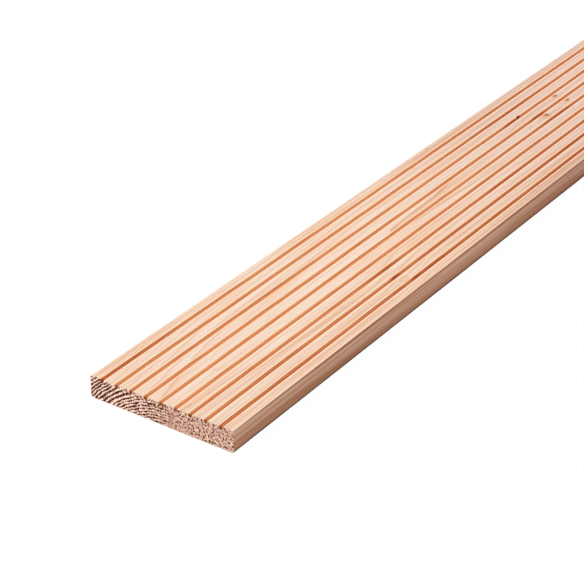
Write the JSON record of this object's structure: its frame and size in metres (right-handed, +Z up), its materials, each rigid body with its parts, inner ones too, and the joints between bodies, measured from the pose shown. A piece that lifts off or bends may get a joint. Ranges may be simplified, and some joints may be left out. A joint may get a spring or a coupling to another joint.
{
  "type": "decking board",
  "caption": "Flat softwood decking board with evenly spaced lengthwise grooves on its top face, rounded long edges and square-sawn ends; lies across joists as a walking surface.",
  "frame": {"origin": "middle of the underside, halfway along the board, on the surface it lies on", "axes": "+X across the board's width, +Y along its length and the grooves, +Z up out of the grooved face"},
  "size_m": [0.145, 2, 0.021],
  "materials": {
    "planed_softwood": "planed and unfinished, pale pinkish cream with orange-brown grain, matte"
  },
  "bodies": {
    "root": {"decking_board": "planed_softwood"}
  },
  "joints": []
}
